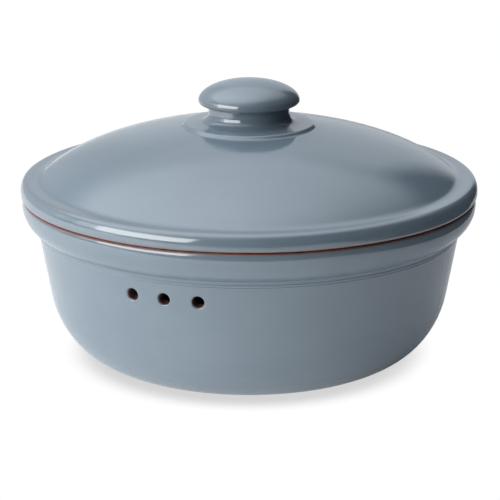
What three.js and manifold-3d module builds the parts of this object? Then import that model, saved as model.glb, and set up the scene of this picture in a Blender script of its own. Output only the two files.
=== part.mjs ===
// Clay bread baker: a round pot with a thick collar and a row of vents, and a domed lid with a knob.
// Millimetres and degrees, +Z up. The origin is the middle of the underside, and the vents face -Y.

import * as THREE from "three";
import { mergeVertices } from "three/addons/utils/BufferGeometryUtils.js";
import Module from "manifold-3d";

// Bowl
const BOWL_HEIGHT = 101.8; // underside to rim
const COLLAR_RADIUS = 139.3; // axis to the crest, the widest point of the collar
const COLLAR_STEP = 9.1; // how far the crest stands out from the wall
const COLLAR_HEIGHT = 19.2; // foot of the collar to the rim
const COLLAR_CREST_DEPTH = 4.8; // rim down to the crest
const COLLAR_FILLET = 1.5; // in the corner under the collar
const RIM_ROUND = 2; // both edges of the rim
const WALL_LEAN = 9.8; // from upright
const WALL_THICKNESS = 8;
const FLOOR_THICKNESS = 9;
const BASE_ROUND_WIDTH = 41.8; // outside corner between underside and wall, half an oval's width
const BASE_ROUND_HEIGHT = 50.3;
const FLOOR_ROUND_WIDTH = 34; // inside corner between floor and wall
const FLOOR_ROUND_HEIGHT = 42;
const FOOT_RING_WIDTH = 12;
const FOOT_RING_HEIGHT = 1.5;

// Vents
const VENT_COUNT = 3;
const VENT_DIAMETER = 7;
const VENT_HEIGHT = 69; // underside to the middle of a vent
const VENT_PITCH = 20.3; // from vent to vent along the wall

// Lid
const LID_OVERHANG = 0.7; // edge of the lid beyond the crest of the collar
const FLANGE_HEIGHT = 10.1; // rim to the top of the flange
const FLANGE_WIDTH = 12.4; // edge of the lid to the foot of the dome
const FLANGE_TOP_ROUND = 6;
const FLANGE_LOWER_ROUND = 2;
const DOME_RISE = 30.5; // top of the flange to the seat of the knob
const DOME_FOOT_SLOPE = 38.4;
const DOME_TOP_SLOPE = 10;
const DOME_FULLNESS = 0.32; // how far each end slope carries on, as a share of the span
const DOME_FOOT_FILLET = 3;
const LID_THICKNESS = 8;
const RING_DEPTH = 8; // rim to the lower edge of the locating ring
const RING_WIDTH = 8;
const RING_CLEARANCE = 1.5; // locating ring to the inside of the bowl
const RING_ROUND = 2.5; // edges of the locating ring
const RING_FILLET = 6; // corner between locating ring and dome

// Knob
const FOOT_RADIUS = 41.5; // flat disc that carries the knob
const FOOT_EDGE = 1.9; // height of the edge of the disc
const FOOT_EDGE_ROUND = 1.2;
const FOOT_RISE = 1.3; // edge of the disc to the neck
const NECK_RADIUS = 25;
const NECK_FLARE = 5; // round corner between disc and neck
const KNOB_RADIUS = 30.9;
const KNOB_HEIGHT = 28.3; // seat to the top of the knob
const KNOB_CREST_HEIGHT = 15.7; // seat to the widest point
const KNOB_LIP = 3.1; // widest point down to the neck
const HOLLOW_RADIUS = 14; // hole in the lid and the hollow of the knob above it
const HOLLOW_ROUND = 9; // edge of the ceiling of the hollow
const KNOB_TOP_THICKNESS = 10;

// Fineness of the faces
const FACE_TOLERANCE = 0.2; // most that a flat facet lies inside a round corner
const LATHE_SEGMENTS = 56;
const VENT_SEGMENTS = 20;
const DOME_STEPS = 8;
const COLLAR_STEPS = 6;
const WALL_CORNER_STEPS = 8;
const KNOB_TOP_STEPS = 7;
const KNOB_LIP_STEPS = 4;
const MERGE_DISTANCE = 0.001; // points closer than this are one point

const radians = THREE.MathUtils.degToRad;
const lean = radians(WALL_LEAN);
const collarFoot = BOWL_HEIGHT - COLLAR_HEIGHT;
const lidRadius = COLLAR_RADIUS + LID_OVERHANG;
const knobSeat = FLANGE_HEIGHT + DOME_RISE;

// Outer and inner face of the leaning wall, as distances from the axis.
function outerRadius(height) {
  return COLLAR_RADIUS - COLLAR_STEP - (collarFoot - height) * Math.tan(lean);
}

function innerRadius(height) {
  return outerRadius(height) - WALL_THICKNESS / Math.cos(lean);
}

// A corner of an outline, given by its distance from the axis, its height and the radius of its edge.
function corner(distance, height, round = 0) {
  return { at: new THREE.Vector2(distance, height), round };
}

function plainCorners(points) {
  return points.map((point) => corner(point.x, point.y));
}

// Points along the arc that rounds a corner off.
function roundedCorner(before, here, after) {
  if (here.round === 0) {
    return [here.at];
  }
  const back = before.at.clone().sub(here.at).normalize();
  const ahead = after.at.clone().sub(here.at).normalize();
  const half = back.angleTo(ahead) / 2;
  const centre = back.clone().add(ahead).setLength(here.round / Math.sin(half)).add(here.at);
  const start = here.at.clone().addScaledVector(back, here.round / Math.tan(half));
  const turn = (Math.PI - 2 * half) * Math.sign(ahead.cross(back));
  const facet = 2 * Math.acos(1 - FACE_TOLERANCE / here.round);
  const steps = Math.ceil(Math.abs(turn) / facet);
  return Array.from({ length: steps + 1 }, (_, i) => start.clone().rotateAround(centre, (turn * i) / steps));
}

function outline(corners) {
  return corners.flatMap((here, i) => roundedCorner(corners[i - 1], here, corners[i + 1]));
}

// Turns an outline round the Z axis.
function lathe(points) {
  return new THREE.LatheGeometry(points, LATHE_SEGMENTS).rotateX(Math.PI / 2);
}

// Bowl: from the middle of the underside up the outside, over the rim and down the inside.
function collarArc() {
  const rise = COLLAR_HEIGHT - COLLAR_CREST_DEPTH;
  const radius = (rise ** 2 + COLLAR_STEP ** 2) / (2 * COLLAR_STEP);
  const from = -Math.asin(rise / radius);
  const to = Math.asin(COLLAR_CREST_DEPTH / radius);
  const crest = BOWL_HEIGHT - COLLAR_CREST_DEPTH;
  const arc = new THREE.EllipseCurve(COLLAR_RADIUS - radius, crest, radius, radius, from, to);
  return arc.getPoints(COLLAR_STEPS);
}

// Oval corner that leaves a level floor and runs into one face of the leaning wall.
function wallCorner(wallRadius, floor, width, height) {
  const end = Math.atan((height / width) * Math.tan(lean));
  const wallStart = wallRadius(floor + height * (1 - Math.sin(end)));
  const middle = wallStart - width * Math.cos(end);
  const oval = new THREE.EllipseCurve(middle, floor + height, width, height, -Math.PI / 2, -end);
  return oval.getPoints(WALL_CORNER_STEPS);
}

function bowlOutline() {
  const [collarStart, ...collarRest] = collarArc();
  const rimEdge = collarRest.pop();
  const baseCorner = wallCorner(outerRadius, 0, BASE_ROUND_WIDTH, BASE_ROUND_HEIGHT);
  const floorCorner = wallCorner(innerRadius, FLOOR_THICKNESS, FLOOR_ROUND_WIDTH, FLOOR_ROUND_HEIGHT);
  const footInside = baseCorner[0].x - FOOT_RING_WIDTH;
  return outline([
    corner(0, FOOT_RING_HEIGHT),
    corner(footInside - FOOT_RING_HEIGHT, FOOT_RING_HEIGHT),
    corner(footInside, 0),
    ...plainCorners(baseCorner),
    corner(collarStart.x, collarStart.y, COLLAR_FILLET),
    ...plainCorners(collarRest),
    corner(rimEdge.x, rimEdge.y, RIM_ROUND),
    corner(innerRadius(BOWL_HEIGHT), BOWL_HEIGHT, RIM_ROUND),
    ...plainCorners(floorCorner.reverse()),
    corner(0, FLOOR_THICKNESS),
  ]);
}

function slope(degrees, length) {
  return new THREE.Vector2(length, 0).rotateAround(new THREE.Vector2(), radians(degrees));
}

// Lid, with heights counted from the rim.
function domeCurve() {
  const foot = new THREE.Vector2(lidRadius - FLANGE_WIDTH, FLANGE_HEIGHT);
  const top = new THREE.Vector2(FOOT_RADIUS, knobSeat);
  const handle = foot.distanceTo(top) * DOME_FULLNESS;
  const footHandle = slope(180 - DOME_FOOT_SLOPE, handle).add(foot);
  const topHandle = slope(-DOME_TOP_SLOPE, handle).add(top);
  return new THREE.CubicBezierCurve(foot, footHandle, topHandle, top);
}

function domeCeiling(dome) {
  return Array.from({ length: DOME_STEPS + 1 }, (_, i) => {
    const along = dome.getTangent(i / DOME_STEPS);
    const inward = new THREE.Vector2(-along.y, along.x);
    return dome.getPoint(i / DOME_STEPS).addScaledVector(inward, LID_THICKNESS);
  });
}

// Height of a line of points, listed from the edge inwards, at one distance from the axis.
function heightAt(points, distance) {
  const next = points.findIndex((point) => point.x < distance);
  const [outer, inner] = [points[next - 1], points[next]];
  return THREE.MathUtils.mapLinear(distance, outer.x, inner.x, outer.y, inner.y);
}

function lidOutline() {
  const dome = domeCurve();
  const [domeFoot, ...domeRest] = dome.getPoints(DOME_STEPS);
  const ceiling = domeCeiling(dome);
  const ceilingTop = ceiling.at(-1).y;
  const ringOutside = (height) => innerRadius(BOWL_HEIGHT + height) - RING_CLEARANCE;
  const ringInside = ringOutside(-RING_DEPTH) - RING_WIDTH;
  return outline([
    corner(HOLLOW_RADIUS, ceilingTop),
    ...plainCorners(ceiling.filter((point) => point.x < ringInside - RING_FILLET).reverse()),
    corner(ringInside, heightAt(ceiling, ringInside), RING_FILLET),
    corner(ringInside, -RING_DEPTH, RING_ROUND),
    corner(ringOutside(-RING_DEPTH), -RING_DEPTH, RING_ROUND),
    corner(ringOutside(0), 0),
    corner(lidRadius, 0, FLANGE_LOWER_ROUND),
    corner(lidRadius, FLANGE_HEIGHT, FLANGE_TOP_ROUND),
    corner(domeFoot.x, domeFoot.y, DOME_FOOT_FILLET),
    ...plainCorners(domeRest),
    corner(HOLLOW_RADIUS, knobSeat),
    corner(HOLLOW_RADIUS, ceilingTop),
  ]);
}

// Knob: from the ceiling of its hollow down, out along the seat and up the outside to the top.
function knobOutline() {
  const hollowTop = knobSeat + KNOB_HEIGHT - KNOB_TOP_THICKNESS;
  const crest = knobSeat + KNOB_CREST_HEIGHT;
  const overhang = KNOB_RADIUS - NECK_RADIUS;
  const topHeight = KNOB_HEIGHT - KNOB_CREST_HEIGHT;
  const quarter = Math.PI / 2;
  const lip = new THREE.EllipseCurve(NECK_RADIUS, crest, overhang, KNOB_LIP, -quarter, 0);
  const top = new THREE.EllipseCurve(0, crest, KNOB_RADIUS, topHeight, 0, quarter);
  return outline([
    corner(0, hollowTop),
    corner(HOLLOW_RADIUS, hollowTop, HOLLOW_ROUND),
    corner(HOLLOW_RADIUS, knobSeat),
    corner(FOOT_RADIUS, knobSeat),
    corner(FOOT_RADIUS, knobSeat + FOOT_EDGE, FOOT_EDGE_ROUND),
    corner(NECK_RADIUS, knobSeat + FOOT_EDGE + FOOT_RISE, NECK_FLARE),
    ...plainCorners(lip.getPoints(KNOB_LIP_STEPS)),
    ...plainCorners(top.getPoints(KNOB_TOP_STEPS).slice(1, -1)),
    corner(0, knobSeat + KNOB_HEIGHT),
  ]);
}

// Vents: straight holes through the wall towards the axis, side by side.
const wasm = await Module();
wasm.setup();

function solid(geometry) {
  geometry.deleteAttribute("normal");
  geometry.deleteAttribute("uv");
  const merged = mergeVertices(geometry, MERGE_DISTANCE);
  const vertProperties = merged.attributes.position.array;
  const triVerts = new Uint32Array(merged.index.array);
  return new wasm.Manifold(new wasm.Mesh({ numProp: 3, vertProperties, triVerts }));
}

function geometryOf(made) {
  const { vertProperties, triVerts } = made.getMesh();
  const geometry = new THREE.BufferGeometry();
  geometry.setAttribute("position", new THREE.BufferAttribute(vertProperties, 3));
  geometry.setIndex(new THREE.BufferAttribute(triVerts, 1));
  geometry.computeVertexNormals();
  return geometry;
}

function ventCutters() {
  const radius = VENT_DIAMETER / 2;
  const middle = (outerRadius(VENT_HEIGHT) + innerRadius(VENT_HEIGHT)) / 2;
  const length = 2 * WALL_THICKNESS + VENT_DIAMETER;
  const turn = VENT_PITCH / outerRadius(VENT_HEIGHT);
  return Array.from({ length: VENT_COUNT }, (_, i) =>
    new THREE.CylinderGeometry(radius, radius, length, VENT_SEGMENTS)
      .translate(0, -middle, VENT_HEIGHT)
      .rotateZ(turn * (i - (VENT_COUNT - 1) / 2)),
  );
}

function bowlGeometry() {
  const pot = solid(lathe(bowlOutline()));
  return geometryOf(ventCutters().reduce((rest, cutter) => rest.subtract(solid(cutter)), pot));
}

// Assembly
const glaze = new THREE.MeshStandardMaterial({ color: 0x8595a2, roughness: 0.35, metalness: 0 });

function piece(name, geometry) {
  const mesh = new THREE.Mesh(geometry, glaze.clone());
  mesh.name = name;
  return mesh;
}

const lid = new THREE.Group();
lid.name = "lid";
lid.position.z = BOWL_HEIGHT;
lid.add(piece("lid_shell", lathe(lidOutline())), piece("lid_knob", lathe(knobOutline())));

const baker = new THREE.Group();
baker.name = "clay_bread_baker";
baker.add(piece("bowl", bowlGeometry()), lid);

export default baker;
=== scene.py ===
"""Looks of the clay bread baker: blue-grey glaze over bare clay, on a white floor in soft studio light."""

import math

import bmesh
import bpy
from mathutils import Matrix, Vector, noise


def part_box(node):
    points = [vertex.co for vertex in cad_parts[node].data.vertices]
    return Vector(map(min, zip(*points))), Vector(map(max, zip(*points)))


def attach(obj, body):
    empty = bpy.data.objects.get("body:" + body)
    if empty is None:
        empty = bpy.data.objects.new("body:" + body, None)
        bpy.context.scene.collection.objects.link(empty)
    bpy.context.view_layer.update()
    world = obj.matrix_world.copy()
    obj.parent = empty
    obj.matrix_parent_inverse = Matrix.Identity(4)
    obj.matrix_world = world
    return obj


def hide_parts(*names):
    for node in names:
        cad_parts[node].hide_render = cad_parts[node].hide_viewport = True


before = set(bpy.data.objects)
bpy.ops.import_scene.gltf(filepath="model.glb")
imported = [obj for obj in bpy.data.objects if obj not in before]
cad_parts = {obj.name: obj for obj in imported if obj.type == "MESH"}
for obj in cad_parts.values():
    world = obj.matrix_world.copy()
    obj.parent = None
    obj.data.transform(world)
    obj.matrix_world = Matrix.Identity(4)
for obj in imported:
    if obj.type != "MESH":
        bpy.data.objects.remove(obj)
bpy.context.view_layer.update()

MM = 0.001  # the sizes of the pieces are in millimetres, and the meshes are in metres
TOLERANCE = 0.001  # points closer than this are one

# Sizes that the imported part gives
RIM_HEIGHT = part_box("bowl")[1].z / MM
COLLAR_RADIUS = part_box("bowl")[1].x / MM
LID_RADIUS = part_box("lid_shell")[1].x / MM
RING_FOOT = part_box("lid_shell")[0].z / MM
KNOB_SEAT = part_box("lid_knob")[0].z / MM
KNOB_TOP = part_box("lid_knob")[1].z / MM
FOOT_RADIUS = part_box("lid_knob")[1].x / MM

# Bowl
COLLAR_STEP = 9.1  # how far the crest of the collar stands out from the wall
COLLAR_HEIGHT = 19.2
COLLAR_CREST_DEPTH = 4.8  # rim down to the crest
COLLAR_FILLET = 1.8
TURNED_LINES = 2  # fine ridges on the wall under the collar
LINE_RISE = 0.24
LINE_PITCH = 1.5
LINE_ROUND = 0.9
RIM_ROUND = 2
WALL_LEAN = math.radians(9.8)
WALL_THICKNESS = 8
FLOOR_THICKNESS = 9
BASE_ROUND = (41.8, 50.3)  # width and height of the oval corner outside
FLOOR_ROUND = (34, 42)  # and inside
FOOT_RING_WIDTH = 12
FOOT_RING_HEIGHT = 1.5

# Vents
VENT_COUNT = 3
VENT_RADIUS = 3.5
VENT_HEIGHT = 69
VENT_PITCH = 20.3
VENT_LIP = 1.1  # rounding of the glazed outer edge
VENT_INNER_LIP = 0.5
VENT_GLAZE = 0.6  # how far the glaze runs into the hole
HOLE_SHADE_DEPTH = 4  # the painted shade in the hole is full from this depth on
HOLE_SHADE_SIDE = math.radians(135)  # the painted shade is darkest on the hole's upper left side and fades out towards its lower right
VENT_PATCH = 15  # side of the square of wall round a vent

# Lid
FLANGE_HEIGHT = 10.1
FLANGE_WIDTH = 11.8
FLANGE_TOP_ROUND = 4
FLANGE_SLANT = 2.3  # how far the side of the flange runs out below its top edge
FLANGE_SIDE_SLOPE = math.radians(60)
FLANGE_SIDE_ROUND = 8
FLANGE_LOWER_ROUND = 2
DOME_FOOT_SLOPE = math.radians(38.4)
DOME_TOP_SLOPE = math.radians(10)
DOME_FULLNESS = 0.32
DOME_FOOT_FILLET = 9
LID_THICKNESS = 8
RING_WIDTH = 8
RING_CLEARANCE = 1.5
RING_ROUND = 2.5
RING_FILLET = 6
SEAT_GAP = 0.4  # the rough clay holds the lid this far above the rim

# Knob
FOOT_EDGE = 1.9
FOOT_EDGE_ROUND = 2
FOOT_TRIM = 0.5  # how far the foot stands in from the edge of its seat
FOOT_EDGE_SLANT = 1.6  # how far the edge of the foot runs out as it goes down
FOOT_FILLET = 1.6  # glaze gathers in the corner between the foot and the dome
FOOT_RISE = 1.3
NECK_RADIUS = 24.7
NECK_FLARE = 6
KNOB_RADIUS = 30.9
KNOB_CREST_HEIGHT = 15.7
KNOB_LIP = 3.1
HOLLOW_RADIUS = 14
HOLLOW_ROUND = 9
KNOB_TOP_THICKNESS = 10

# Glaze and clay
RIM_BARE = 0.35  # height of the bare clay on the rounded edges of the rim and of the lid
HIDDEN_GLAZE = 6  # glaze that reaches under the foot of the knob
EDGE_REACH = 1.5  # how far an edge draws the glaze thin, or a corner gathers it
FOLD = math.radians(140)  # a sharper turn is the hem of a piece, not an edge
WOBBLE = 0.25  # unevenness of the clay
WOBBLE_SIZE = 60
WOBBLE_FADE = 25  # height over which it fades out towards the floor
WOBBLE_SEED = 5

# Fineness of the meshes
ARC_STEP = math.radians(5)
LINE_STEP = 2.6
LINE_END_STEPS = 2  # added to a straight run that is split, so that its ends are fine
DOME_STEPS = 36
COLUMNS = 240
PATCH_CELLS = 8
PATCH_SHARES = (0.75, 0.5, 0.25)  # rings between the edge of a patch and its vent
GAP_CELLS = 2
LIP_STEPS = 6
BORE_STEPS = 8
INNER_LIP_STEPS = 4

# Heights that follow from these sizes
COLLAR_FOOT = RIM_HEIGHT - COLLAR_HEIGHT
FLANGE_TOP = RIM_HEIGHT + FLANGE_HEIGHT


# Outlines, as points (distance from the axis, height)


def outer_radius(height):
    """Outside of the leaning wall."""
    return COLLAR_RADIUS - COLLAR_STEP - (COLLAR_FOOT - height) * math.tan(WALL_LEAN)


def inner_radius(height):
    """Inside of the leaning wall."""
    return outer_radius(height) - WALL_THICKNESS / math.cos(WALL_LEAN)


def oval(middle, radii, start, end):
    """Points on an oval, from one angle to another."""
    steps = math.ceil(abs(end - start) / ARC_STEP)
    points = []
    for i in range(steps + 1):
        turn = start + (end - start) * i / steps
        distance = middle[0] + radii[0] * math.cos(turn)
        height = middle[1] + radii[1] * math.sin(turn)
        points.append(Vector((distance, height)))
    return points


def rounded(before, corner, after, radius):
    """Points on the arc that rounds a corner off."""
    back = (before - corner).normalized()
    ahead = (after - corner).normalized()
    half = back.angle(ahead) / 2
    middle = corner + (back + ahead).normalized() * (radius / math.sin(half))
    start = corner + back * (radius / math.tan(half)) - middle
    turn = math.copysign(math.pi - 2 * half, ahead.cross(back))
    steps = math.ceil(abs(turn) / ARC_STEP)
    return [middle + Matrix.Rotation(turn * i / steps, 2) @ start for i in range(steps + 1)]


def outline(*corners):
    """Points through corners (distance, height, radius of the edge), where plain points have no radius."""
    places = [Vector(corner[:2]) for corner in corners]
    points = []
    for i, corner in enumerate(corners):
        if len(corner) == 3:
            points += rounded(places[i - 1], places[i], places[i + 1], corner[2])
        else:
            points.append(places[i])
    return points


def dense(points):
    """Splits the long straight runs of an outline, closely near their ends."""
    found = [points[0]]
    for start, end in zip(points, points[1:]):
        steps = math.ceil((end - start).length / LINE_STEP)
        if steps > 1:
            steps += LINE_END_STEPS
        for i in range(1, steps + 1):
            found.append(start.lerp(end, (1 - math.cos(math.pi * i / steps)) / 2))
    return found


def wall_corner(wall_radius, floor, size):
    """Oval corner that leaves a level floor and runs into one face of the wall."""
    width, height = size
    end = math.atan(height / width * math.tan(WALL_LEAN))
    wall_start = wall_radius(floor + height * (1 - math.sin(end)))
    middle = (wall_start - width * math.cos(end), floor + height)
    return oval(middle, size, -math.pi / 2, -end)


def collar_arc():
    """Round outside of the collar, from its foot to the rim."""
    rise = COLLAR_HEIGHT - COLLAR_CREST_DEPTH
    radius = (rise**2 + COLLAR_STEP**2) / (2 * COLLAR_STEP)
    middle = (COLLAR_RADIUS - radius, RIM_HEIGHT - COLLAR_CREST_DEPTH)
    start = -math.asin(rise / radius)
    end = math.asin((COLLAR_CREST_DEPTH - SEAT_GAP) / radius)
    return oval(middle, (radius, radius), start, end)


def patch_wall(wall_radius):
    """Evenly spaced points up the wall beside the vents."""
    heights = [VENT_HEIGHT + VENT_PATCH * (i / PATCH_CELLS - 0.5) for i in range(PATCH_CELLS + 1)]
    return [Vector((wall_radius(height), height)) for height in heights]


def turned_lines():
    """Corners of the fine ridges on the wall, upwards to the foot of the collar."""
    corners = []
    for i in range(2 * TURNED_LINES + 1):
        height = COLLAR_FOOT - COLLAR_FILLET - LINE_PITCH * (TURNED_LINES - i / 2)
        rise = LINE_RISE if i % 2 else 0
        corners.append((outer_radius(height) + rise, height, LINE_ROUND))
    return corners


def bowl_outline():
    """The bowl, from the middle of the underside up the outside, over the rim and down the inside."""
    base = wall_corner(outer_radius, 0, BASE_ROUND)
    floor = wall_corner(inner_radius, FLOOR_THICKNESS, FLOOR_ROUND)
    foot_inside = base[0].x - FOOT_RING_WIDTH
    collar = collar_arc()
    rim = RIM_HEIGHT - SEAT_GAP
    corners = [
        (0, FOOT_RING_HEIGHT),
        (foot_inside - FOOT_RING_HEIGHT, FOOT_RING_HEIGHT),
        (foot_inside, 0),
        *base,
        *patch_wall(outer_radius),
        *turned_lines(),
        (*collar[0], COLLAR_FILLET),
        *collar[1:-2],
        (*collar[-1], RIM_ROUND),
        (inner_radius(rim), rim, RIM_ROUND),
        *reversed(patch_wall(inner_radius)),
        *reversed(floor),
        (0, FLOOR_THICKNESS),
    ]
    return dense(outline(*corners))


def slope(angle, length):
    """Step of a length at an angle above the level."""
    return Vector((length * math.cos(angle), length * math.sin(angle)))


def dome_point(share):
    """Point of the dome and its direction, from the foot of the dome at 0 to the knob at 1."""
    foot = Vector((LID_RADIUS - FLANGE_WIDTH, FLANGE_TOP))
    top = Vector((FOOT_RADIUS, KNOB_SEAT))
    handle = (top - foot).length * DOME_FULLNESS
    foot_handle = foot + slope(math.pi - DOME_FOOT_SLOPE, handle)
    top_handle = top + slope(-DOME_TOP_SLOPE, handle)
    rest = 1 - share
    point = foot * rest**3 + foot_handle * 3 * rest**2 * share
    point += top_handle * 3 * rest * share**2 + top * share**3
    along = (foot_handle - foot) * rest**2 + (top_handle - foot_handle) * 2 * rest * share
    along += (top - top_handle) * share**2
    return point, along.normalized()


def lid_outline():
    """The lid, from the hole under the knob along its ceiling to the edge and back over the dome."""
    curve = [dome_point(i / DOME_STEPS) for i in range(DOME_STEPS + 1)]
    dome = [point for point, _ in curve]
    ceiling = [point + Vector((-along.y, along.x)) * LID_THICKNESS for point, along in curve]
    ceiling_top = ceiling[-1].y
    ring_outside = inner_radius(RING_FOOT) - RING_CLEARANCE
    ring_inside = ring_outside - RING_WIDTH
    ring_top = next(point.y for point in ceiling if point.x < ring_inside)
    corners = [
        (HOLLOW_RADIUS, ceiling_top),
        *[point for point in reversed(ceiling) if point.x < ring_inside - RING_FILLET],
        (ring_inside, ring_top, RING_FILLET),
        (ring_inside, RING_FOOT, RING_ROUND),
        (ring_outside, RING_FOOT, RING_ROUND),
        (inner_radius(RIM_HEIGHT) - RING_CLEARANCE, RIM_HEIGHT),
        (LID_RADIUS, RIM_HEIGHT, FLANGE_LOWER_ROUND),
        (LID_RADIUS, FLANGE_TOP - FLANGE_SLANT * math.tan(FLANGE_SIDE_SLOPE), FLANGE_SIDE_ROUND),
        (LID_RADIUS - FLANGE_SLANT, FLANGE_TOP, FLANGE_TOP_ROUND),
        (*dome[0], DOME_FOOT_FILLET),
        *dome[2:],
        (HOLLOW_RADIUS, KNOB_SEAT),
        (HOLLOW_RADIUS, ceiling_top),
    ]
    return dense(outline(*corners))


def knob_outline():
    """The knob, from the ceiling of its hollow down, out along its seat and up the outside to the top."""
    hollow_top = KNOB_TOP - KNOB_TOP_THICKNESS
    crest = KNOB_SEAT + KNOB_CREST_HEIGHT
    foot = FOOT_RADIUS - FOOT_TRIM
    quarter = math.pi / 2
    lip = oval((NECK_RADIUS, crest), (KNOB_RADIUS - NECK_RADIUS, KNOB_LIP), -quarter, 0)
    top = oval((0, crest), (KNOB_RADIUS, KNOB_TOP - crest), 0, quarter)
    corners = [
        (0, hollow_top),
        (HOLLOW_RADIUS, hollow_top, HOLLOW_ROUND),
        (HOLLOW_RADIUS, KNOB_SEAT),
        Vector((foot, KNOB_SEAT)) + slope(-DOME_TOP_SLOPE, FOOT_FILLET),
        (foot, KNOB_SEAT, FOOT_FILLET),
        (foot - FOOT_EDGE_SLANT, KNOB_SEAT + FOOT_EDGE, FOOT_EDGE_ROUND),
        (NECK_RADIUS, KNOB_SEAT + FOOT_EDGE + FOOT_RISE, NECK_FLARE),
        *lip,
        *top[1:-1],
        (0, KNOB_TOP),
    ]
    return dense(outline(*corners))


# Meshes


def lengths(points):
    """Length of an outline up to each of its points."""
    found = [0]
    for start, end in zip(points, points[1:]):
        found.append(found[-1] + (end - start).length)
    return found


def edges(points):
    """How sharply an outline turns near each point: 1 on an edge, 0 on a plain face, -1 in a corner."""
    along = lengths(points)
    turns = [0] * len(points)
    for i in range(1, len(points) - 1):
        turn = (points[i + 1] - points[i]).angle_signed(points[i] - points[i - 1], 0)
        turns[i] = turn if abs(turn) < FOLD else 0
    found = []
    for here in along:
        near = sum(t * math.exp(-(((s - here) / EDGE_REACH) ** 2)) for s, t in zip(along, turns))
        found.append(max(-1, min(1, near)))
    return found


def length_to(points, test):
    """Length of an outline up to the first point that passes a test."""
    return next(length for length, point in zip(lengths(points), points) if test(point))


def place(distance, height, angle):
    """Point at an angle round the axis, which counts from -Y towards +X."""
    return Vector((distance * math.sin(angle), -distance * math.cos(angle), height))


def wobble(point):
    """Moves a point a little, as clay moves in the kiln, but less near the floor."""
    fade = min(1, point.z / WOBBLE_FADE)
    return point + noise.noise_vector(point / WOBBLE_SIZE) * (WOBBLE * fade)


def spread(start, end, count):
    """Even steps from start up to, but without, end."""
    return [start + (end - start) * i / count for i in range(count)]


class Turned:
    """A mesh that is turned round the Z axis and glazed between two lengths along its outline."""

    def __init__(self, points, angles, glaze_start, glaze_end):
        self.mesh = bmesh.new()
        self.bare = self.mesh.verts.layers.float.new("bare")
        self.edge = self.mesh.verts.layers.float.new("edge")
        self.angles = angles
        self.grid = []
        for point, here, edge in zip(points, lengths(points), edges(points)):
            bare = max(glaze_start - here, here - glaze_end)
            self.grid.append([self.point(place(*point, angle), bare, edge) for angle in angles])

    def point(self, at, bare, edge):
        """Adds a point that lies so far outside the glaze, and is so near an edge."""
        made = self.mesh.verts.new(wobble(at) * MM)
        made[self.bare] = bare
        made[self.edge] = edge
        return made

    def band(self, lower, upper, left_out=()):
        """Joins two closed rows of points with faces."""
        for i in range(len(lower)):
            if i not in left_out:
                j = (i + 1) % len(lower)
                self.mesh.faces.new((lower[i], lower[j], upper[j], upper[i]))

    def finish(self, name, node, body):
        """Makes the piece that stands for a CAD node."""
        bmesh.ops.remove_doubles(self.mesh, verts=self.mesh.verts, dist=TOLERANCE * MM)
        for face in self.mesh.faces:
            face.smooth = True
        data = bpy.data.meshes.new(name)
        self.mesh.to_mesh(data)
        self.mesh.free()
        piece = bpy.data.objects.new(name, data)
        bpy.context.scene.collection.objects.link(piece)
        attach(piece, body)
        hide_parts(node)
        return piece


# Angles of the vents and their patches, round the axis
VENT_TURN = VENT_PITCH / outer_radius(VENT_HEIGHT)
PATCH_REACH = VENT_PATCH / 2 / outer_radius(VENT_HEIGHT)
VENT_ANGLES = [VENT_TURN * (i - (VENT_COUNT - 1) / 2) for i in range(VENT_COUNT)]


def bowl_angles():
    """Columns of the bowl, with even ones across each vent."""
    angles = []
    for middle in VENT_ANGLES:
        angles += spread(middle - PATCH_REACH, middle + PATCH_REACH, PATCH_CELLS)
        angles += spread(middle + PATCH_REACH, middle + VENT_TURN - PATCH_REACH, GAP_CELLS)
    last = VENT_ANGLES[-1] + VENT_TURN - PATCH_REACH
    return angles + spread(last, angles[0] + 2 * math.pi, COLUMNS)


def patch_edge(first_column):
    """Steps up and columns round a square patch, anticlockwise from its lower left corner."""
    n = PATCH_CELLS
    steps = [(0, k) for k in range(n)] + [(k, n) for k in range(n)]
    steps += [(n, n - k) for k in range(n)] + [(n - k, 0) for k in range(n)]
    return [(up, first_column + across) for up, across in steps]


def vent_point(across, up, depth, angle):
    """Point of a vent, given from its middle on the outside of the wall."""
    front = math.sqrt(outer_radius(VENT_HEIGHT + up) ** 2 - across**2) - depth
    return place(front, VENT_HEIGHT + up, angle) + place(across, 0, angle + math.pi / 2)


def vent_rings():
    """Rings of a vent from the outside in: share of the patch's edge, radius, depth, bare and edge, where
    a negative edge in the bore is painted shade.
    """
    through = WALL_THICKNESS / math.cos(WALL_LEAN)
    quarter = math.pi / 2
    margin = VENT_PATCH / 2 - VENT_RADIUS
    rings = [(share, VENT_RADIUS + VENT_LIP, 0, -margin * share - VENT_LIP, 0) for share in PATCH_SHARES]
    for turn in [*spread(0, quarter, LIP_STEPS), quarter]:
        radius = VENT_RADIUS + VENT_LIP * (1 - math.sin(turn))
        depth = VENT_LIP * (1 - math.cos(turn))
        rings.append((0, radius, depth, VENT_LIP * (turn - quarter) - VENT_GLAZE, math.sin(turn)))
    for depth in spread(VENT_LIP, through - VENT_INNER_LIP, BORE_STEPS)[1:]:
        # The bore gets a painted shade that grows darker deeper in.
        rings.append((0, VENT_RADIUS, depth, depth - VENT_LIP - VENT_GLAZE, -depth / HOLE_SHADE_DEPTH))
    for turn in [*spread(0, quarter, INNER_LIP_STEPS), quarter]:
        radius = VENT_RADIUS + VENT_INNER_LIP * (1 - math.cos(turn))
        depth = through - VENT_INNER_LIP * (1 - math.sin(turn))
        rings.append((0, radius, depth, through, math.sin(turn)))
    inner = VENT_RADIUS + VENT_INNER_LIP
    rings += [(share, inner, through, through, 0) for share in reversed(PATCH_SHARES)]
    return rings


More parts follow.
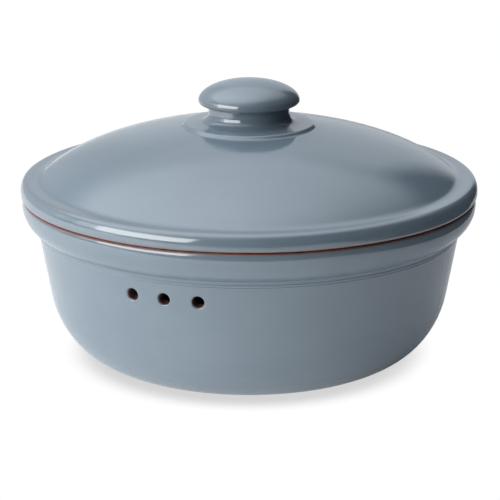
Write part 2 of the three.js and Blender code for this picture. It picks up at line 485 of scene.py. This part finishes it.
def cut_vent(bowl, angle, first_column, outer_rows, inner_rows):
    """Fills the patches that were left out of the two faces of the wall with a hole and its lips."""
    edge_places = patch_edge(first_column)
    last = [bowl.grid[outer_rows[up]][column] for up, column in edge_places]
    for share, radius, depth, bare, edge in vent_rings():
        ring = []
        for step, column in edge_places:
            up = VENT_PATCH * (step / PATCH_CELLS - 0.5)
            across = (outer_radius(VENT_HEIGHT + up) - depth) * math.sin(bowl.angles[column] - angle)
            aim = math.atan2(up, across)
            side = across * share + radius * math.cos(aim) * (1 - share)
            rise = up * share + radius * math.sin(aim) * (1 - share)
            # Painted shade in the bore, darkest on its upper left side.
            shade = edge if edge > 0 else edge * (1 + math.cos(aim - HOLE_SHADE_SIDE)) / 2
            ring.append(bowl.point(vent_point(side, rise, depth, angle), bare, shade))
        bowl.band(last, ring)
        last = ring
    bowl.band(last, [bowl.grid[inner_rows[up]][column] for up, column in edge_places])


def make_bowl():
    """The bowl, with its vents cut through the wall."""
    points = bowl_outline()
    base = wall_corner(outer_radius, 0, BASE_ROUND)
    glaze_start = length_to(points, lambda point: point.x > base[0].x)
    glaze_end = length_to(points, lambda point: point.y > RIM_HEIGHT - SEAT_GAP - RIM_BARE)
    bowl = Turned(points, bowl_angles(), glaze_start, glaze_end)
    outer_rows = [points.index(point) for point in patch_wall(outer_radius)]
    inner_rows = [points.index(point) for point in patch_wall(inner_radius)]
    patch_rows = {*outer_rows[:-1], *inner_rows[1:]}
    first_columns = [i * (PATCH_CELLS + GAP_CELLS) for i in range(VENT_COUNT)]
    patch_columns = {start + i for start in first_columns for i in range(PATCH_CELLS)}
    for row in range(len(points) - 1):
        bowl.band(bowl.grid[row], bowl.grid[row + 1], patch_columns if row in patch_rows else ())
    for angle, column in zip(VENT_ANGLES, first_columns):
        cut_vent(bowl, angle, column, outer_rows, inner_rows)
    return bowl.finish("bowl_glazed", "bowl", "bowl")


def make_lid():
    """The lid, glazed from the edge of its flange to under the knob."""
    points = lid_outline()
    edge = LID_RADIUS - FLANGE_LOWER_ROUND
    glaze_start = length_to(points, lambda point: point.x > edge and point.y > RIM_HEIGHT + RIM_BARE)
    glaze_end = length_to(points, lambda point: point.y > KNOB_SEAT - TOLERANCE) + HIDDEN_GLAZE
    lid = Turned(points, spread(0, 2 * math.pi, COLUMNS), glaze_start, glaze_end)
    for lower, upper in zip(lid.grid, lid.grid[1:]):
        lid.band(lower, upper)
    return lid.finish("lid_glazed", "lid_shell", "lid")


def make_knob():
    """The knob, glazed from under its foot to its top."""
    points = knob_outline()
    glaze_start = length_to(points, lambda point: point.x > FOOT_RADIUS - TOLERANCE) - HIDDEN_GLAZE
    knob = Turned(points, spread(0, 2 * math.pi, COLUMNS), glaze_start, math.inf)
    for lower, upper in zip(knob.grid, knob.grid[1:]):
        knob.band(lower, upper)
    return knob.finish("knob_glazed", "lid_knob", "lid")


# Materials


def add(tree, kind, inputs, **settings):
    """Adds a node. Its inputs are numbers, colours or the outputs of other nodes."""
    node = tree.nodes.new(kind)
    for name, value in settings.items():
        setattr(node, name, value)
    for name, value in inputs.items():
        if isinstance(value, bpy.types.NodeSocket):
            tree.links.new(value, node.inputs[name])
        else:
            node.inputs[name].default_value = value
    return node


def coordinates(tree, kind):
    """Place on an object ("Object"), or direction in the room ("Generated")."""
    node = tree.nodes.get("Texture Coordinate") or tree.nodes.new("ShaderNodeTexCoord")
    return node.outputs[kind]


def grain(tree, size, detail):
    """Noise from 0 to 1 with spots of a size in millimetres."""
    inputs = {"Vector": coordinates(tree, "Object"), "Scale": 1 / (size * MM), "Detail": detail}
    return add(tree, "ShaderNodeTexNoise", inputs).outputs["Fac"]


def waves(tree, width, distortion):
    """Round waves from 0 to 1 about the middle of the underside, as wide as given in millimetres."""
    scale = WAVE_PERIOD / (width * MM)
    inputs = {"Vector": coordinates(tree, "Object"), "Scale": scale, "Distortion": distortion}
    kinds = {"wave_type": "RINGS", "rings_direction": "SPHERICAL"}
    return add(tree, "ShaderNodeTexWave", inputs, **kinds).outputs["Fac"]


def remap(tree, value, start, end, low=0, high=1):
    """Changes a value that runs from start to end into one that runs smoothly from low to high."""
    inputs = {"Value": value, "From Min": start, "From Max": end, "To Min": low, "To Max": high}
    return add(tree, "ShaderNodeMapRange", inputs, interpolation_type="SMOOTHSTEP").outputs["Result"]


def spots(tree, kind, low=0, high=1):
    """Smooth spots of a kind, from low beside them to high on them."""
    size, detail, start, full = kind
    return remap(tree, grain(tree, size, detail), start, full, low, high)


def math_node(tree, operation, a, b):
    """Works out a sum, a product or the like."""
    return add(tree, "ShaderNodeMath", {0: a, 1: b}, operation=operation).outputs["Value"]


def mix(tree, share, a, b):
    """Mixes two colours."""
    inputs = {"Factor": share, 6: a, 7: b}
    return add(tree, "ShaderNodeMix", inputs, data_type="RGBA").outputs[2]


def mix_values(tree, share, a, b):
    """Mixes two numbers."""
    inputs = {"Factor": share, 2: a, 3: b}
    return add(tree, "ShaderNodeMix", inputs).outputs[0]


def attribute(tree, name):
    """Value that the points of a mesh carry."""
    return add(tree, "ShaderNodeAttribute", {}, attribute_name=name).outputs["Fac"]


# Colours
GLAZE = (0.188, 0.251, 0.304, 1)
GLAZE_LIGHT = (0.200, 0.264, 0.316, 1)
GLAZE_THIN = (0.208, 0.241, 0.274, 1)
GLAZE_DEEP = (0.160, 0.219, 0.271, 1)
GLAZE_BREAK = (0.300, 0.135, 0.115, 1)
CLAY = (0.360, 0.135, 0.070, 1)
CLAY_PALE = (0.460, 0.205, 0.120, 1)
CLAY_DARK = (0.200, 0.066, 0.034, 1)
# Dark red painted shade for bare clay next to the end of the glaze.
CLAY_RED_SHADE = (0.052, 0.014, 0.010, 1)
# Painted shade for bare clay in corners and vent holes.
CLAY_PAINTED_SHADE = (0.035, 0.016, 0.012, 1)

# Spots: size in millimetres, detail, and the noise where they start and where they are full
CLOUDS = (35, 3, 0.35, 0.65)
SPECKS = (0.9, 2, 0.62, 0.74)
STAINS = (14, 4, 0.3, 0.7)
GRIT = (1.2, 2, 0.62, 0.7)
GLOSS = (12, 2, 0.3, 0.7)
SPECK_SHARE = 0.5

# End of the glaze: millimetres from the line where it ends, out on to the clay
RAGGED = (5, 2)  # size and detail of the waves of that line, which are 1 mm wide in all
GLAZE_END = (-0.1, 0.1)
BREAK_REACH = (-1.6, -0.3)  # here the glaze turns red-brown
RED_SHADE_REACH = (1.5, 4)  # and here the clay turns from a dark red painted shade, as in the gap at the joint, to its usual colours

# Edges, corners, and painted shade on bare clay in corners and vent holes: where on the scale from 1 to -1
# they start and are full
THIN_REACH = (0.1, 1)
DEEP_REACH = (-0.1, -1)
EDGE_SHARE = 0.8
CLAY_SHADE_REACH = (-0.2, -0.8)

# Sheen and relief: sizes and details of the relief, and its heights in millimetres
GLAZE_IOR = 2.0
GLAZE_ROUGHNESS = (0.09, 0.12)
CLAY_ROUGHNESS = 0.85
RIPPLES = (9, 1)
RIPPLE_HEIGHT = 0.04
PORES = (0.8, 3)
PORE_HEIGHT = 0.3
TURNING = (3.5, 1.5)  # width and distortion of the marks of turning
TURNING_HEIGHT = 0.12
WAVE_PERIOD = math.pi / 10  # of the wave texture at scale 1


def glazed_clay():
    """Clay that is bare or glazed, as the points of the meshes say."""
    material = bpy.data.materials.new("glazed_clay")
    material.use_nodes = True
    tree = material.node_tree
    shader = tree.nodes["Principled BSDF"]

    ragged = math_node(tree, "SUBTRACT", grain(tree, *RAGGED), 0.5)
    outside = math_node(tree, "ADD", attribute(tree, "bare"), ragged)
    bare = remap(tree, outside, *GLAZE_END)
    edge = attribute(tree, "edge")

    glaze = mix(tree, spots(tree, CLOUDS), GLAZE, GLAZE_LIGHT)
    glaze = mix(tree, remap(tree, edge, *THIN_REACH, 0, EDGE_SHARE), glaze, GLAZE_THIN)
    glaze = mix(tree, remap(tree, edge, *DEEP_REACH, 0, EDGE_SHARE), glaze, GLAZE_DEEP)
    glaze = mix(tree, spots(tree, SPECKS, 0, SPECK_SHARE), glaze, GLAZE_DEEP)
    glaze = mix(tree, remap(tree, outside, *BREAK_REACH), glaze, GLAZE_BREAK)

    clay = mix(tree, spots(tree, STAINS), CLAY, CLAY_PALE)
    clay = mix(tree, spots(tree, GRIT), clay, CLAY_DARK)
    # Painted shade: bare clay next to the end of the glaze, as in the gap of the joint, is dark red.
    clay = mix(tree, remap(tree, outside, *RED_SHADE_REACH), CLAY_RED_SHADE, clay)
    # Painted shade: bare clay darkens in corners and deep in the vent holes.
    clay = mix(tree, remap(tree, edge, *CLAY_SHADE_REACH), clay, CLAY_PAINTED_SHADE)

    tree.links.new(mix(tree, bare, glaze, clay), shader.inputs["Base Color"])
    gloss = spots(tree, GLOSS, *GLAZE_ROUGHNESS)
    tree.links.new(mix_values(tree, bare, gloss, CLAY_ROUGHNESS), shader.inputs["Roughness"])

    ripples = math_node(tree, "MULTIPLY", grain(tree, *RIPPLES), RIPPLE_HEIGHT)
    pores = math_node(tree, "MULTIPLY", grain(tree, *PORES), PORE_HEIGHT)
    turning = math_node(tree, "MULTIPLY", waves(tree, *TURNING), TURNING_HEIGHT)
    height = mix_values(tree, bare, ripples, math_node(tree, "ADD", pores, turning))
    bump = add(tree, "ShaderNodeBump", {"Height": height, "Distance": MM, "Strength": 1.0})
    tree.links.new(bump.outputs["Normal"], shader.inputs["Normal"])
    shader.inputs["IOR"].default_value = GLAZE_IOR
    return material


noise.seed_set(WOBBLE_SEED)
material = glazed_clay()
for piece in (make_bowl(), make_lid(), make_knob()):
    piece.data.materials.append(material)

# Floors, in metres
CAMERA_AZIMUTH = math.radians(22)
SEEN_FLOOR = (4, 4, 4, 4)  # reach to the left, the right, the front and the back
SHADOW_REACH = 0.05
SHADOW_SKY = (0.14, 0.5)  # share of open sky where the shadow is full, and where it ends
SHADOW_WHITE = 0.65
SEEN_WHITE = 1.02
LIT_FLOOR = (1.2, 0.36, 0.5, 4)
LIT_FLOOR_DROP = 0.0005  # how far it lies below the floor that is seen
LIT_WHITE = (0.82, 0.65)  # painted shade: it is darker at its right end
LIT_WHITE_FADE = (0.1, 0.36)
SIDE_GLOW = 0.27  # light of its own, strongest at its left
SIDE_GLOW_FADE = (-0.4, 0.25)
FRONT_GLOW = 0.18  # and round a point in front of the pot
FRONT_GLOW_MIDDLE = (-0.02, -0.1, 0)
FRONT_GLOW_FADE = (0.03, 0.16)


def make_floor(name, height, left, right, front, back):
    """Matt floor, with the nodes of its material and their shader."""
    corners = [(-left, -front), (right, -front), (right, back), (-left, back)]
    mesh = bpy.data.meshes.new(name)
    mesh.from_pydata([(*corner, height) for corner in corners], [], [(0, 1, 2, 3)])
    floor = bpy.data.objects.new(name, mesh)
    floor.rotation_euler.z = CAMERA_AZIMUTH
    bpy.context.scene.collection.objects.link(floor)
    material = bpy.data.materials.new(name)
    material.use_nodes = True
    mesh.materials.append(material)
    shader = material.node_tree.nodes["Principled BSDF"]
    shader.inputs["Roughness"].default_value = 1
    shader.inputs["Specular IOR Level"].default_value = 0
    shader.inputs["Emission Color"].default_value = (1, 1, 1, 1)
    return floor, material.node_tree, shader


def seen_floor():
    """The white floor that the camera sees, with a soft shadow round the foot of the pot."""
    floor, tree, shader = make_floor("seen_floor", 0, *SEEN_FLOOR)
    floor.visible_diffuse = False
    floor.visible_glossy = False
    floor.visible_shadow = False
    shader.inputs["Base Color"].default_value = (0, 0, 0, 1)
    open_sky = add(tree, "ShaderNodeAmbientOcclusion", {"Distance": SHADOW_REACH}).outputs["AO"]
    white = remap(tree, open_sky, *SHADOW_SKY, SHADOW_WHITE, SEEN_WHITE)
    tree.links.new(white, shader.inputs["Emission Strength"])


def lit_floor():
    """The white floor that lights the pot."""
    floor, tree, shader = make_floor("lit_floor", -LIT_FLOOR_DROP, *LIT_FLOOR)
    floor.visible_camera = False
    at = coordinates(tree, "Object")
    across = add(tree, "ShaderNodeSeparateXYZ", {"Vector": at}).outputs["X"]
    points = {0: at, 1: FRONT_GLOW_MIDDLE}
    away = add(tree, "ShaderNodeVectorMath", points, operation="DISTANCE").outputs["Value"]
    side_glow = remap(tree, across, *SIDE_GLOW_FADE, SIDE_GLOW, 0)
    front_glow = remap(tree, away, *FRONT_GLOW_FADE, FRONT_GLOW, 0)
    tree.links.new(math_node(tree, "ADD", side_glow, front_glow), shader.inputs["Emission Strength"])
    # Painted shade: the floor's white darkens towards its right end.
    tree.links.new(remap(tree, across, *LIT_WHITE_FADE, *LIT_WHITE), shader.inputs["Base Color"])


seen_floor()
lit_floor()

# Room: sides in degrees from the back towards the left, heights and reaches in degrees
DAYLIGHT = (0.95, 1.0, 1.06)
AMBIENT = 0.03
WALL_LIGHTS = (((-22, 12), 0.68), ((12, 75), 0.5))  # sides and brightness
WALL_HEIGHTS = (-5, 34)
WALL_SOFTNESS = 10
CEILING_LIGHTS = ((32, 64, 1.14), (105, 60, 0.55))  # side, reach and brightness
CEILING_HEIGHT = 60
CEILING_CORE = 0.985  # cosine of the angle about its middle where a ceiling light is full
CEILING_EDGE = (28, 42)  # the ceiling fades in between these heights


def towards(azimuth, elevation):
    """Direction at an azimuth in degrees from the camera towards its right, and an elevation."""
    rise = math.radians(elevation)
    return place(math.cos(rise), math.sin(rise), CAMERA_AZIMUTH + math.radians(azimuth))


def along(tree, azimuth, elevation):
    """How far the direction in the room points along another one."""
    inputs = {0: coordinates(tree, "Generated"), 1: towards(azimuth, elevation)}
    return add(tree, "ShaderNodeVectorMath", inputs, operation="DOT_PRODUCT").outputs["Value"]


def wall_light(tree, sides, brightness):
    """Soft rectangle of light on the walls."""
    light = brightness
    side = math_node(tree, "ARCTAN2", along(tree, -90, 0), along(tree, 180, 0))
    height = math_node(tree, "ARCSINE", along(tree, 0, 90), 0)
    for value, limits in ((side, sides), (height, WALL_HEIGHTS)):
        for limit, inwards in zip(limits, (1, -1)):
            start = math.radians(limit - inwards * WALL_SOFTNESS / 2)
            end = math.radians(limit + inwards * WALL_SOFTNESS / 2)
            light = math_node(tree, "MULTIPLY", light, remap(tree, value, start, end))
    return light


def ceiling_light(tree, side, reach, brightness):
    """Round light that fades out to its reach, and has a lower edge along the tops of the walls."""
    middle = along(tree, 180 + side, CEILING_HEIGHT)
    round_light = remap(tree, middle, math.cos(math.radians(reach)), CEILING_CORE, 0, brightness)
    low, high = [math.sin(math.radians(height)) for height in CEILING_EDGE]
    return math_node(tree, "MULTIPLY", round_light, remap(tree, along(tree, 0, 90), low, high))


def studio():
    """Dark room with a bright ceiling, and a bright wall behind the pot."""
    world = bpy.data.worlds.new("studio")
    world.use_nodes = True
    tree = world.node_tree
    background = tree.nodes["Background"]
    background.inputs["Color"].default_value = (*DAYLIGHT, 1)
    lights = [wall_light(tree, *light) for light in WALL_LIGHTS]
    lights += [ceiling_light(tree, *light) for light in CEILING_LIGHTS]
    strength = AMBIENT
    for light in lights:
        strength = math_node(tree, "ADD", strength, light)
    tree.links.new(strength, background.inputs["Strength"])
    return world


bpy.context.scene.world = studio()
bpy.context.scene.view_settings.view_transform = "Standard"

# Key light: softboxes that overlap, so that their common light fades out to its sides
KEY_ELEVATION = 16
KEY_BOXES = {  # azimuth in degrees, distance, width and height in metres, and power in watts
    "key": (-51, 1.2, (1.07, 0.66), 6.3),
    "key_middle": (-57.5, 1.2, (1.42, 0.66), 2.4),
    "key_wings": (-65, 1.25, (2.02, 0.5), 2.1),
}


def softbox(name, azimuth, distance, size, power):
    """A soft area light that faces the pot, at an azimuth from the camera towards its right."""
    data = bpy.data.lights.new(name, "AREA")
    data.shape = "RECTANGLE"
    data.size, data.size_y = size
    data.energy = power
    light = bpy.data.objects.new(name, data)
    out = towards(azimuth, KEY_ELEVATION)
    light.location = Vector((0, 0, RIM_HEIGHT * MM)) + out * distance
    light.rotation_mode = "QUATERNION"
    light.rotation_quaternion = (-out).to_track_quat("-Z", "Y")
    bpy.context.scene.collection.objects.link(light)


for name, box in KEY_BOXES.items():
    softbox(name, *box)

# Camera, in metres, with its lens and sensor in millimetres
CAMERA_DISTANCE = 1.105
CAMERA_HEIGHT = 0.3898
CAMERA_PITCH = math.radians(16.49)
CAMERA_LENS = 133.1
CAMERA_SENSOR = 36
CAMERA_SHIFT = 0.002

camera_data = bpy.data.cameras.new("camera")
camera_data.lens = CAMERA_LENS
camera_data.sensor_width = CAMERA_SENSOR
camera_data.shift_x = CAMERA_SHIFT
camera = bpy.data.objects.new("camera", camera_data)
camera.location = place(CAMERA_DISTANCE, CAMERA_HEIGHT, CAMERA_AZIMUTH)
camera.rotation_euler = (math.pi / 2 - CAMERA_PITCH, 0, CAMERA_AZIMUTH)
bpy.context.scene.collection.objects.link(camera)
bpy.context.scene.camera = camera
